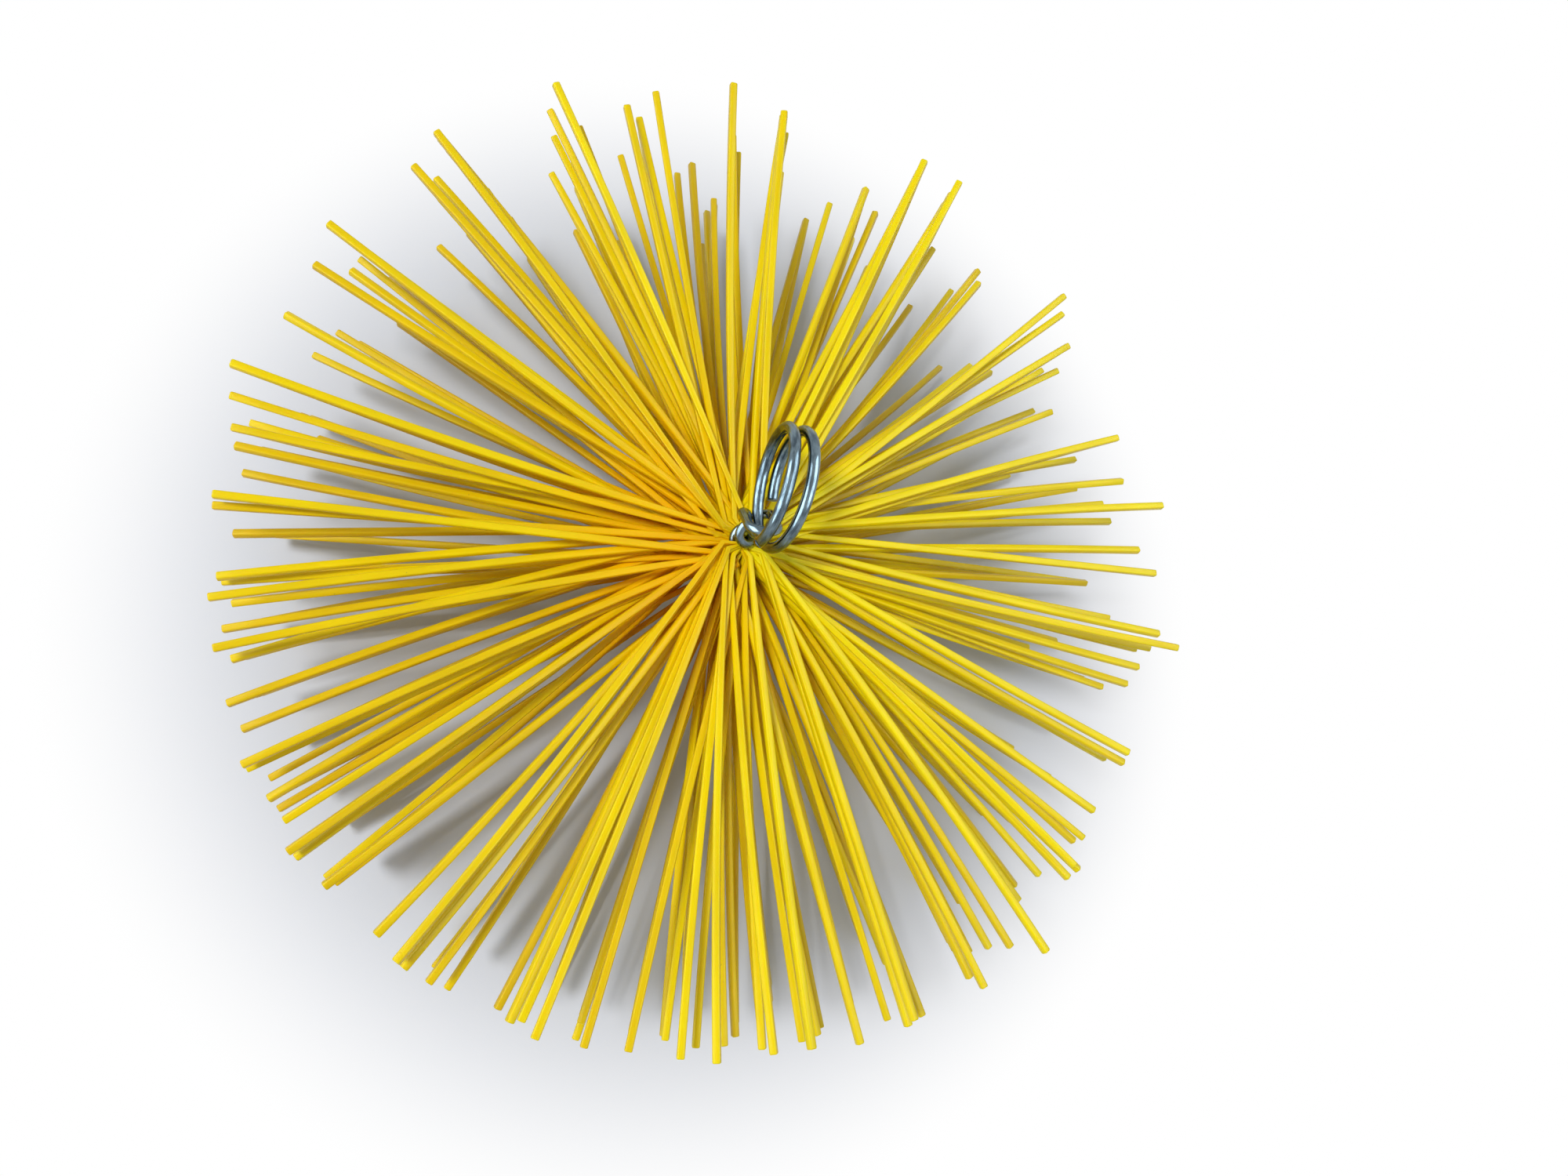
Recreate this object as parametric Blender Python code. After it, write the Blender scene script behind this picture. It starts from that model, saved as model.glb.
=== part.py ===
"""Chimney sweep brush: stiff plastic bristles held in a twisted wire stem.

The stem is one galvanised wire folded in two. Its fold is the eye at the top, and its two legs
twist down through the bristles to their cut ends. The bristles leave the twist on two opposite
sides, so they form two spiral rows, and each row is made of tufts. A split ring hangs in the eye.
Metres, +Z up along the stem. The brush stands on its lowest bristle tips at z = 0.
"""
import math
import random

import bmesh
import bpy
from mathutils import Matrix, Vector

TURN = 2.0 * math.pi
UP = Vector((0.0, 0.0, 1.0))

# The brush as a whole
BRUSH_DIAMETER = 0.250
MESH_GAP = 0.0003
FLOOR_CUT = 0.0005

# Bristle strands
STRAND_WIDTH = 0.0019
STRAND_SHORTFALL = 0.0070
STRAND_OVERREACH = 0.0040
HIDDEN_STRAND_TRIM = 0.0040
STRAND_ROOT_WIDTH = 0.0012
STRAND_ROOT_REACH = 0.006
STRAND_BEND_REACH = 0.052
STRAND_BOW = 0.0011
STRAND_BOW_WAVES = 5
STRAND_SPACING_ANGLE = 1.9
LARGEST_STRAND_TURN = 12.0
FULL_REACH_BEARINGS = (0.0, 90.0, 180.0, 270.0)

# Spiral rows: each strand's height falls along the row, and so does its slope
ROW_START_BEARINGS = {"a": 225.0, "b": 45.0}
ROW_TURNS = 2
TUFTS_PER_ROW = 10
COLUMNS_PER_TUFT = 5
LAYERS = 3
TOP_SLOPE = 6.0
BOTTOM_SLOPE = -24.0
SLOPE_JITTER = 0.6
SCATTER_SEED = 41
STANDING_COLUMNS = 12

# The view of the photo: its directions, its distance as a share of the brush's diameter, and
# places in pixels right of its middle and above it
VIEW_TOWARD = Vector((-0.267, -0.214, 0.940)).normalized()
VIEW_RIGHT = Vector((0.962, 0.0, 0.273)).normalized()
VIEW_UP = VIEW_TOWARD.cross(VIEW_RIGHT)
VIEW_DISTANCE_SHARE = 1.2
PIXELS_ACROSS_BRUSH = 1225.0
HUB_PIXEL = (-59.0, 58.0)
READING_CENTRE_PIXEL = (-62.0, 60.0)

# Tips read by eye in the photo: bearing in degrees and reach in pixels round the reading centre
SHOWN_TIPS = (
    (3, 478), (4.7, 550), (5.75, 470), (8.8, 499), (13.5, 445), (15.1, 502), (22.3, 435),
    (23.6, 414), (27.9, 464), (29.1, 447), (30.4, 492), (33.5, 390), (34.75, 512), (36.7, 556),
    (40.3, 342), (46.7, 452), (48.1, 463), (49.2, 421), (53.3, 373), (56, 447), (56.8, 447),
    (58.1, 518), (63.6, 541), (64.2, 387), (66.9, 455), (68.9, 413), (69.7, 479), (74.4, 446),
    (77.6, 419), (83, 525), (83.6, 555), (89.6, 498), (90.3, 583), (93.6, 436), (95, 421),
    (96.6, 484), (99, 484), (100.1, 581), (102.9, 553), (104.1, 572), (106.6, 512), (110.2, 453),
    (110.7, 564), (111.5, 627), (113.3, 598), (114.2, 565), (116.6, 523), (116.1, 452),
    (117.1, 442), (125, 502), (125.4, 550), (126.2, 647), (129.6, 600), (130.7, 631), (130.9, 520),
    (135.2, 533), (142.1, 659), (143.1, 599), (144.9, 600), (146.75, 643), (146.9, 512),
    (152.3, 573), (153.3, 643), (156.2, 588), (160.6, 683), (163.9, 671), (166.3, 637),
    (167.25, 676), (169.2, 655), (172.1, 641), (174.9, 674), (175.7, 662), (179.1, 659),
    (183.9, 681), (184.5, 679), (186.1, 677), (187, 661), (189.75, 667), (191.6, 681), (193.2, 661),
    (197.75, 681), (200.9, 677), (204.4, 692), (205, 690), (207, 675), (208.9, 690), (210.4, 681),
    (211.75, 678), (214.75, 696), (215.75, 692), (219.4, 677), (220, 686), (220.5, 672),
    (227.6, 681), (231.1, 691), (232.1, 691), (234.8, 667), (235.2, 687), (237.2, 680), (243, 670),
    (244.8, 679), (245.9, 672), (248, 686), (252.2, 668), (253.3, 675), (258.1, 666), (261.75, 647),
    (262, 659), (263.9, 666), (265.5, 671), (267.9, 678), (268.75, 663), (270, 655), (273, 671),
    (274.25, 661), (277.6, 655), (278.5, 656), (279.4, 654), (279.9, 632), (283.9, 664),
    (287.6, 642), (289.6, 657), (290.4, 653), (291.4, 651), (298.2, 647), (299.1, 652),
    (299.6, 610), (301.9, 623), (304.1, 635), (307.1, 661), (308.2, 586), (309, 576), (312.25, 576),
    (314.6, 604), (316.2, 606), (318.4, 577), (319.5, 583), (323, 572), (329.5, 547), (330.2, 570),
    (331.6, 569), (338.3, 503), (339.9, 544), (342.6, 546), (344.9, 531), (345.5, 560),
    (346.4, 584), (347.6, 577), (348.4, 496), (353.2, 450), (358.7, 528),
)
AIM_ROUNDS = 6
NEAREST_SHOWN = 12

# A strand too long or too short by this much counts as badly placed as one with the largest turn
MISFIT_LENGTH = 0.0020

# Twisted wire stem
WIRE_DIAMETER = 0.0024
TWIST_PITCH = 0.012
TWIST_RADIUS = 0.0022
CLOSED_TWIST_RADIUS = 0.00145
TWIST_CLOSING_LENGTH = 0.004
TAIL_LENGTH = 0.020
TWIST_STEPS_PER_TURN = 20
AXIS_STEPS_PER_DIAMETER = 16

# Tuft neck between the two legs of the wire, and the head that carries the strands
CORE_RADIUS = 0.0052
NECK_THICKNESS = 0.0013
NECK_REACH = 0.0024
FLARE_REACH = 0.0039
FLARE_THICKNESS = 0.0044

# Eye at the top: the stem leans out, then the eye leans back
LEAN_OUT = 30.0
LEAN_BACK = -39.0
LEAN_OUT_LENGTH = 0.005
LEAN_HELD_LENGTH = 0.0012
LEAN_BACK_LENGTH = 0.007
EYE_LENGTH = 0.015
EYE_HALF_WIDTH = 0.0036
EYE_OPENING_LENGTH = 0.0042
EYE_STEPS = 12
EYE_ARCH_STEPS = 12

# Split ring
RING_WIRE_DIAMETER = 0.0028
RING_RADIUS = 0.0142
RING_PITCH = 0.0043
RING_SPREAD = 0.0008
RING_CLEARANCE = 0.00055
RING_REST_ELEVATION = 32.5
RING_ROCK = 6.0
RING_YAW = -6.5
RING_START_ANGLE = 30.0
RING_MIDDLE_ANGLE = 300.0
RING_END_ANGLE = 632.0
RING_STEPS_PER_TURN = 32

# A wire's gap to itself is measured past this many diameters along it
NEXT_STRETCH_DIAMETERS = 3

# Finishes
YELLOW = (0.82, 0.56, 0.004, 1.0)
ZINC = (0.56, 0.60, 0.64, 1.0)
STEEL = (0.62, 0.66, 0.70, 1.0)

# Sizes that follow from the ones above
BRUSH_RADIUS = BRUSH_DIAMETER / 2
SHORTEST_STRAND = BRUSH_RADIUS - STRAND_SHORTFALL
LONGEST_STRAND = BRUSH_RADIUS + STRAND_OVERREACH
WIRE_RADIUS = WIRE_DIAMETER / 2
RING_WIRE_RADIUS = RING_WIRE_DIAMETER / 2
ROW_SPACING = TWIST_PITCH / 2
LAYER_SPACING = ROW_SPACING / LAYERS
COLUMNS = TUFTS_PER_ROW * COLUMNS_PER_TUFT
COLUMN_ANGLE = 360.0 * ROW_TURNS / COLUMNS
ROW_DROP = TWIST_PITCH * ROW_TURNS
SLOPE_FALL = (TOP_SLOPE - BOTTOM_SLOPE) / (ROW_DROP + 2 * LAYER_SPACING)
LOWEST_ROOT = BRUSH_RADIUS * math.sin(math.radians(-BOTTOM_SLOPE)) - FLOOR_CUT
ROW_TOP = LOWEST_ROOT + LAYER_SPACING + ROW_DROP
HUB_TOP = ROW_TOP + ROW_SPACING / 2
HUB_BOTTOM = ROW_TOP - ROW_DROP - ROW_SPACING / 2
VIEW_HEIGHT = ROW_TOP - ROW_DROP / 4
VIEW_DISTANCE = VIEW_DISTANCE_SHARE * BRUSH_DIAMETER
PIXELS_PER_METRE = PIXELS_ACROSS_BRUSH / BRUSH_DIAMETER


def clear_scene():
    for item in list(bpy.data.objects):
        bpy.data.objects.remove(item, do_unlink=True)


def make_collection(name):
    collection = bpy.data.collections.new(name)
    bpy.context.scene.collection.children.link(collection)
    return collection


def make_material(name, colour, roughness, metallic):
    material = bpy.data.materials.new(name)
    material.use_nodes = True
    shader = material.node_tree.nodes["Principled BSDF"]
    shader.inputs["Base Color"].default_value = colour
    shader.inputs["Roughness"].default_value = roughness
    shader.inputs["Metallic"].default_value = metallic
    return material


def smooth(share):
    """Ease from 0 to 1."""
    held = min(max(share, 0.0), 1.0)
    return held * held * (3.0 - 2.0 * held)


def blend(start, end, share):
    return start + (end - start) * share


def heading(bearing):
    """Level unit vector at a bearing in degrees, anticlockwise from +X."""
    angle = math.radians(bearing)
    return Vector((math.cos(angle), math.sin(angle), 0.0))


def row_height(swept):
    """Height of a row's middle layer after it has swept this many degrees."""
    return ROW_TOP - TWIST_PITCH * swept / 360.0


def slope_at(height):
    """Slope of a strand in degrees, from the height of its root."""
    return TOP_SLOPE - SLOPE_FALL * (ROW_TOP + LAYER_SPACING - height)


def core_point(row, swept, across, reach, thickness):
    """Point of a tuft's core: along the row, across it from -0.5 to 0.5, and out from the axis."""
    outward = heading(ROW_START_BEARINGS[row] + swept)
    sideways = UP.cross(outward)
    lead = TWIST_PITCH / TURN
    normal = (sideways * lead + UP * reach).normalized()
    return outward * reach + UP * row_height(swept) + normal * (across * thickness)


def core_stations():
    """Reach and thickness of the core where its section changes, from the axis outwards."""
    lead = TWIST_PITCH / TURN
    head = ROW_SPACING * CORE_RADIUS / math.hypot(CORE_RADIUS, lead) - MESH_GAP
    return (
        (MESH_GAP, NECK_THICKNESS),
        (NECK_REACH, NECK_THICKNESS),
        (FLARE_REACH, FLARE_THICKNESS),
        (CORE_RADIUS, head),
    )


def photo_place(point):
    """Bearing in degrees and reach in pixels of a point, as the photo shows it."""
    offset = point - UP * VIEW_HEIGHT
    nearness = 1.0 / (1.0 - offset.dot(VIEW_TOWARD) / VIEW_DISTANCE)
    right = (offset.dot(VIEW_RIGHT) * PIXELS_PER_METRE + HUB_PIXEL[0]) * nearness - READING_CENTRE_PIXEL[0]
    above = (offset.dot(VIEW_UP) * PIXELS_PER_METRE + HUB_PIXEL[1]) * nearness - READING_CENTRE_PIXEL[1]
    return math.degrees(math.atan2(above, right)), math.hypot(right, above)


def angle_between(start, end):
    """Angle from one bearing to another, from -180 to 180 degrees."""
    return (end - start + 180.0) % 360.0 - 180.0


def root_bearing(row, column):
    return ROW_START_BEARINGS[row] + COLUMN_ANGLE * (column + 0.5)


def strand_tip(slot, bearing, length, slope_shift):
    """Tip of the strand in a slot, which is its row, column and layer."""
    row, column, layer = slot
    height = row_height(bearing - ROW_START_BEARINGS[row]) + LAYER_SPACING * (layer - 1)
    slope = math.radians(slope_at(height) + slope_shift)
    tip = heading(bearing) * length * math.cos(slope) + UP * (height + length * math.sin(slope))
    if layer == 0 and column >= COLUMNS - STANDING_COLUMNS:
        tip.z = STRAND_WIDTH / 2 * math.cos(slope) - FLOOR_CUT
    return tip


def aim(slot, slope_shift, shown_bearing, shown_reach):
    """Bearing and length that show a slot's tip at a place in the photo."""
    bearing = root_bearing(*slot[:2])
    for _ in range(AIM_ROUNDS):
        seen, longest_reach = photo_place(strand_tip(slot, bearing, LONGEST_STRAND, slope_shift))
        bearing += angle_between(seen, shown_bearing)
    _, shortest_reach = photo_place(strand_tip(slot, bearing, SHORTEST_STRAND, slope_shift))
    share = (shown_reach - shortest_reach) / (longest_reach - shortest_reach)
    return bearing, blend(SHORTEST_STRAND, LONGEST_STRAND, share)


def has_room(lane, column, bearing):
    """True if a free column's strand keeps its order and spacing in its lane, a layer of a row."""
    return column not in lane and all(
        (placed - bearing) / (other - column) >= STRAND_SPACING_ANGLE
        for other, (placed, _) in lane.items())


def trimmed(length):
    return min(max(length, SHORTEST_STRAND), LONGEST_STRAND)


def turn_at(row, column, bearing):
    """How far a strand turns aside from its root's bearing, as a share of the most it may."""
    return abs(bearing - root_bearing(row, column)) / LARGEST_STRAND_TURN


def lay_shown_strands(lanes, slope_shifts):
    """Give each tip of the photo, farthest first, the free strand that meets it with least turn."""
    for shown_bearing, shown_reach in sorted(SHOWN_TIPS, key=lambda shown: -shown[1]):
        choices = []
        for slot, slope_shift in slope_shifts.items():
            row, column, layer = slot
            if abs(angle_between(root_bearing(row, column), shown_bearing)) > 2 * COLUMN_ANGLE:
                continue
            bearing, length = aim(slot, slope_shift, shown_bearing, shown_reach)
            turn = turn_at(row, column, bearing)
            misfit = abs(length - trimmed(length)) / MISFIT_LENGTH
            if turn < 1.0 and has_room(lanes[row, layer], column, bearing):
                choices.append((turn + misfit, slot, bearing, length))
        if choices:
            _, (row, column, layer), bearing, length = min(choices)
            lanes[row, layer][column] = (bearing, trimmed(length))


def lay_hidden_strands(lanes, slope_shifts, scatter):
    """Lay each strand left under a tip of the photo, or else as near its root's bearing as fits."""
    for slot, slope_shift in slope_shifts.items():
        row, column, layer = slot
        lane = lanes[row, layer]
        if column in lane:
            continue
        root = root_bearing(row, column)
        seen, _ = photo_place(strand_tip(slot, root, SHORTEST_STRAND, slope_shift))
        nearest = sorted(SHOWN_TIPS, key=lambda shown: abs(angle_between(seen, shown[0])))
        choices = []
        for shown_bearing, shown_reach in nearest[:NEAREST_SHOWN]:
            bearing, length = aim(slot, slope_shift, shown_bearing, shown_reach)
            turn = turn_at(row, column, bearing)
            overshoot = max(SHORTEST_STRAND - length, 0.0) / MISFIT_LENGTH
            if turn < 1.0 and has_room(lane, column, bearing):
                choices.append((turn + overshoot, bearing, length))
        if choices:
            _, bearing, length = min(choices)
        else:
            length = SHORTEST_STRAND
            lowest = [placed + STRAND_SPACING_ANGLE * (column - other)
                      for other, (placed, _) in lane.items() if other < column]
            highest = [placed - STRAND_SPACING_ANGLE * (other - column)
                       for other, (placed, _) in lane.items() if other > column]
            bearing = min([max([root, *lowest]), *highest])
        lane[column] = (bearing, trimmed(length - scatter.uniform(0.0, HIDDEN_STRAND_TRIM)))


def full_reach_slots(lanes):
    """The upper strand of a middle layer that lies nearest to each bearing of full reach."""
    found = {}
    for target in FULL_REACH_BEARINGS:
        choices = []
        for (row, layer), lane in lanes.items():
            for column in range(COLUMNS // 2):
                turn = angle_between(lane[column][0], target)
                others = {other: placed for other, placed in lane.items() if other != column}
                if has_room(others, column, lane[column][0] + turn):
                    choices.append((abs(turn), (row, column, layer), lane[column][0] + turn))
        _, slot, bearing = min(choices)
        found[slot] = bearing
    return found


def strand_sections():
    """Sections of each strand from root to tip, keyed by row, column and layer."""
    scatter = random.Random(SCATTER_SEED)
    slope_shifts = {}
    for row in ROW_START_BEARINGS:
        for column in range(COLUMNS):
            for layer in range(LAYERS):
                slope_shifts[row, column, layer] = scatter.uniform(-SLOPE_JITTER, SLOPE_JITTER)
    lanes = {(row, layer): {} for row in ROW_START_BEARINGS for layer in range(LAYERS)}
    lay_shown_strands(lanes, slope_shifts)
    lay_hidden_strands(lanes, slope_shifts, scatter)
    full_reach = full_reach_slots(lanes)
    sections = {}
    for slot, slope_shift in slope_shifts.items():
        row, column, layer = slot
        bearing, length = lanes[row, layer][column]
        bearing = full_reach.get(slot, bearing)
        tip = strand_tip(slot, bearing, length, slope_shift)
        if slot in full_reach:
            tip = heading(bearing) * BRUSH_RADIUS + UP * tip.z
        else:
            inside = min(1.0, (BRUSH_RADIUS - STRAND_WIDTH / 2) / max(abs(tip.x), abs(tip.y)))
            tip = Vector((tip.x * inside, tip.y * inside, tip.z))
        swept = COLUMN_ANGLE * (column + 0.5)
        root = heading(root_bearing(row, column)) * CORE_RADIUS
        root += UP * (row_height(swept) + LAYER_SPACING * (layer - 1))
        sideways = UP.cross(tip - root).normalized()
        bow = STRAND_BOW * math.sin(math.radians(STRAND_BOW_WAVES * bearing))
        bend = root + (tip - root) * (STRAND_BEND_REACH / length) + sideways * bow
        upward = (tip - bend).cross(sideways).normalized()
        end_directions = (sideways, upward)
        if slot in full_reach:
            end_directions = (UP.cross(heading(bearing)), UP)
        sections[slot] = (
            (root + (tip - root) * (STRAND_ROOT_REACH / length), sideways, upward, STRAND_ROOT_WIDTH),
            (bend, sideways, upward, STRAND_WIDTH),
            (tip, *end_directions, STRAND_WIDTH))
    return sections


def place_section(face, centre, sideways, upward, width):
    """Move a four-sided face's corners to a square strand section."""
    middle = face.calc_center_median()
    half = width / 2
    for corner in face.verts:
        offset = corner.co - middle
        side = math.copysign(half, offset.dot(sideways))
        rise = math.copysign(half, offset.dot(upward))
        corner.co = centre + sideways * side + upward * rise


def grow_strand(shape, face, sections):
    """Extrude one face of the core out through a strand's sections."""
    for section in sections:
        face = bmesh.ops.extrude_discrete_faces(shape, faces=[face])["faces"][0]
        place_section(face, *section)


def cut_at_floor(shape):
    """Cut off what reaches below the floor and close the cuts."""
    geometry = shape.verts[:] + shape.edges[:] + shape.faces[:]
    cut = bmesh.ops.bisect_plane(
        shape, geom=geometry, plane_co=Vector((0.0, 0.0, 0.0)), plane_no=UP, clear_inner=True)
    edges = [item for item in cut["geom_cut"] if isinstance(item, bmesh.types.BMEdge)]
    if edges:
        bmesh.ops.holes_fill(shape, edges=edges)


def make_tuft(name, row, first_column, strands, material, collection):
    """One tuft: its neck in the twist, its head, and three layers of strands."""
    shape = bmesh.new()
    stations = core_stations()
    bmesh.ops.create_grid(shape, x_segments=COLUMNS_PER_TUFT, y_segments=LAYERS, size=0.5)
    layout = {vert: (vert.co.x, vert.co.y) for vert in shape.verts}
    middle = COLUMN_ANGLE * (first_column + COLUMNS_PER_TUFT / 2)
    span = COLUMN_ANGLE * COLUMNS_PER_TUFT

    def settle(verts, reach, thickness):
        side_gap = math.degrees(MESH_GAP / max(reach, TWIST_RADIUS))
        for vert in verts:
            along, across = layout[vert]
            swept = middle + along * (span - side_gap)
            vert.co = core_point(row, swept, across, reach, thickness)

    settle(shape.verts, *stations[0])
    faces = shape.faces[:]
    inner_end = faces
    for reach, thickness in stations[1:]:
        before = {tuple(vert.co): layout[vert] for face in faces for vert in face.verts}
        grown = bmesh.ops.extrude_face_region(shape, geom=faces)["geom"]
        verts = [item for item in grown if isinstance(item, bmesh.types.BMVert)]
        layout = {vert: before[tuple(vert.co)] for vert in verts}
        if faces is not inner_end:
            bmesh.ops.delete(shape, geom=faces, context="FACES")
        faces = [item for item in grown if isinstance(item, bmesh.types.BMFace)]
        settle(verts, reach, thickness)

    for face in faces:
        along = sum(layout[vert][0] for vert in face.verts) / len(face.verts)
        across = sum(layout[vert][1] for vert in face.verts) / len(face.verts)
        column = first_column + int((along + 0.5) * COLUMNS_PER_TUFT)
        layer = int((across + 0.5) * LAYERS)
        grow_strand(shape, face, strands[row, column, layer])

    cut_at_floor(shape)
    bmesh.ops.recalc_face_normals(shape, faces=shape.faces[:])
    mesh = bpy.data.meshes.new(name)
    shape.to_mesh(mesh)
    shape.free()
    tuft = bpy.data.objects.new(name, mesh)
    tuft.data.materials.append(material)
    collection.objects.link(tuft)
    return tuft


def make_tube(name, points, radius, material, collection, origin):
    """A round wire along a list of points, as one curve object whose origin is given."""
    curve = bpy.data.curves.new(name, "CURVE")
    curve.dimensions = "3D"
    curve.bevel_depth = radius
    curve.bevel_resolution = 2
    curve.use_fill_caps = True
    spline = curve.splines.new("POLY")
    spline.points.add(len(points) - 1)
    for target, point in zip(spline.points, points):
        target.co = (*(point - origin), 1.0)
    tube = bpy.data.objects.new(name, curve)
    tube.location = origin
    tube.data.materials.append(material)
    collection.objects.link(tube)
    return tube


def lean_at(rise):
    """Lean of the stem towards +Y in degrees, by length along it above the hub."""
    turn_back = LEAN_OUT_LENGTH + LEAN_HELD_LENGTH
    out = LEAN_OUT * smooth(rise / LEAN_OUT_LENGTH)
    return blend(out, LEAN_BACK, smooth((rise - turn_back) / LEAN_BACK_LENGTH))


def stem_axis(rises):
    """Points and directions of the stem's middle line at lengths above the hub, in rising order."""
    step = WIRE_DIAMETER / AXIS_STEPS_PER_DIAMETER
    place = Vector((0.0, 0.0, HUB_TOP))
    travelled = 0.0
    found = []
    for rise in rises:
        while travelled < rise:
            stride = min(step, rise - travelled)
            lean = math.radians(lean_at(travelled + stride / 2))
            place = place + Vector((0.0, math.sin(lean), math.cos(lean))) * stride
            travelled += stride
        lean = math.radians(lean_at(rise))
        found.append((place.copy(), Vector((0.0, math.sin(lean), math.cos(lean)))))
    return found


def neck_length():
    """Length of twisted stem above the hub, to where its legs lie at +X and -X again."""
    leg_bearing = ROW_START_BEARINGS["a"] + 90.0
    return TWIST_PITCH * leg_bearing / 360.0 - ROW_SPACING / 2


def twist_radius_at(rise):
    return blend(TWIST_RADIUS, CLOSED_TWIST_RADIUS, smooth(rise / TWIST_CLOSING_LENGTH))


def eye_outline():
    """Middle line of the eye, from the +X leg's root round the tip to the -X leg's root."""
    neck = neck_length()
    arch_start = EYE_LENGTH - EYE_HALF_WIDTH
    stretch = [arch_start * n / EYE_STEPS for n in range(1, EYE_STEPS + 1)]
    half_widths = [
        blend(CLOSED_TWIST_RADIUS, EYE_HALF_WIDTH, smooth(rise / EYE_OPENING_LENGTH)) for rise in stretch]
    for n in range(1, EYE_ARCH_STEPS // 2 + 1):
        angle = math.pi * n / EYE_ARCH_STEPS
        stretch.append(arch_start + EYE_HALF_WIDTH * math.sin(angle))
        half_widths.append(EYE_HALF_WIDTH * math.cos(angle))
    axis = stem_axis([neck + rise for rise in stretch])
    right = [place + Vector((width, 0.0, 0.0)) for (place, _), width in zip(axis, half_widths)]
    left = [Vector((-point.x, point.y, point.z)) for point in right[:-1]]
    return right + left[::-1]


def eye_tip():
    """Middle of the wire at the eye's tip, which the ring turns about."""
    return stem_axis([neck_length() + EYE_LENGTH])[0][0]


def folded_wire():
    """Both legs and the eye in one list of points."""
    legs = []
    neck = neck_length()
    step = TWIST_PITCH / TWIST_STEPS_PER_TURN
    straight = HUB_TOP - HUB_BOTTOM + TAIL_LENGTH
    below = [-straight + straight * n / round(straight / step) for n in range(round(straight / step))]
    above = [neck * n / round(neck / step) for n in range(round(neck / step) + 1)]
    axis = [(Vector((0.0, 0.0, HUB_TOP + rise)), UP) for rise in below] + stem_axis(above)
    side = Vector((1.0, 0.0, 0.0))
    for half in (0.0, 180.0):
        leg = []
        for rise, (place, along) in zip(below + above, axis):
            bearing = ROW_START_BEARINGS["a"] + 90.0 + half
            bearing += 360.0 * (ROW_TOP - HUB_TOP - rise) / TWIST_PITCH
            angle = math.radians(bearing)
            offset = side * math.cos(angle) + along.cross(side) * math.sin(angle)
            leg.append(place + offset * twist_radius_at(rise))
        legs.append(leg)
    first, second = legs
    outline = eye_outline()
    if first[-1].x < 0.0:
        first, second = second, first
    return first + outline + second[::-1]


def ring_route():
    """Middle line of the split ring, which turns about the wire at the eye's tip."""
    elevation = math.radians(RING_REST_ELEVATION)
    rock = Matrix.Rotation(math.radians(RING_ROCK), 3, "Y")
    turned = rock @ Matrix.Rotation(math.radians(RING_YAW), 3, "Z")
    away = turned @ Vector((0.0, math.cos(elevation), math.sin(elevation)))
    round_way = turned @ Vector((0.0, -math.sin(elevation), math.cos(elevation)))
    sideways = turned @ Vector((1.0, 0.0, 0.0))
    offset = RING_RADIUS - RING_WIRE_RADIUS - WIRE_RADIUS - RING_CLEARANCE
    centre = eye_tip() + away * offset
    swept = RING_END_ANGLE - RING_START_ANGLE
    steps = round(swept / 360.0 * RING_STEPS_PER_TURN)
    points = []
    for n in range(steps + 1):
        degrees = RING_START_ANGLE + swept * n / steps
        angle = math.radians(degrees)
        pitch = RING_PITCH + RING_SPREAD * math.sin(angle)
        shift = pitch * (degrees - RING_MIDDLE_ANGLE) / 360.0
        round_place = -away * math.cos(angle) + round_way * math.sin(angle)
        points.append(centre + round_place * RING_RADIUS + sideways * shift)
    return points


def least_gap(points, diameter):
    """Least gap between a wire's surface and itself, past the stretch next to each point."""
    spans = [0.0]
    for before, after in zip(points, points[1:]):
        spans.append(spans[-1] + (after - before).length)
    least = None
    for first in range(len(points)):
        for second in range(first + 1, len(points)):
            if spans[second] - spans[first] > NEXT_STRETCH_DIAMETERS * diameter:
                gap = (points[second] - points[first]).length - diameter
                least = gap if least is None else min(least, gap)
    return least


def main():
    clear_scene()
    collection = make_collection("chimney_sweep_brush")
    yellow = make_material("yellow_bristle", YELLOW, 0.32, 0.0)
    zinc = make_material("galvanised_wire", ZINC, 0.30, 1.0)
    steel = make_material("ring_steel", STEEL, 0.18, 1.0)

    strands = strand_sections()
    for row in ROW_START_BEARINGS:
        for tuft in range(TUFTS_PER_ROW):
            name = f"bristle_tuft_{row}{tuft + 1:02d}"
            make_tuft(name, row, tuft * COLUMNS_PER_TUFT, strands, yellow, collection)

    stem = folded_wire()
    make_tube("twisted_wire_stem", stem, WIRE_RADIUS, zinc, collection, Vector((0.0, 0.0, HUB_TOP)))
    ring = ring_route()
    make_tube("split_ring", ring, RING_WIRE_RADIUS, steel, collection, eye_tip())
    for label, points, diameter in (("stem", stem, WIRE_DIAMETER), ("ring", ring, RING_WIRE_DIAMETER)):
        print("least gap to itself, mm:", label, round(least_gap(points, diameter) * 1000, 3))
    print("hub from", round(HUB_BOTTOM, 5), "to", round(HUB_TOP, 5), "ring axis at", tuple(eye_tip()))


main()
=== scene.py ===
import math
import random

import bpy
from mathutils import Matrix, Vector


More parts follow.
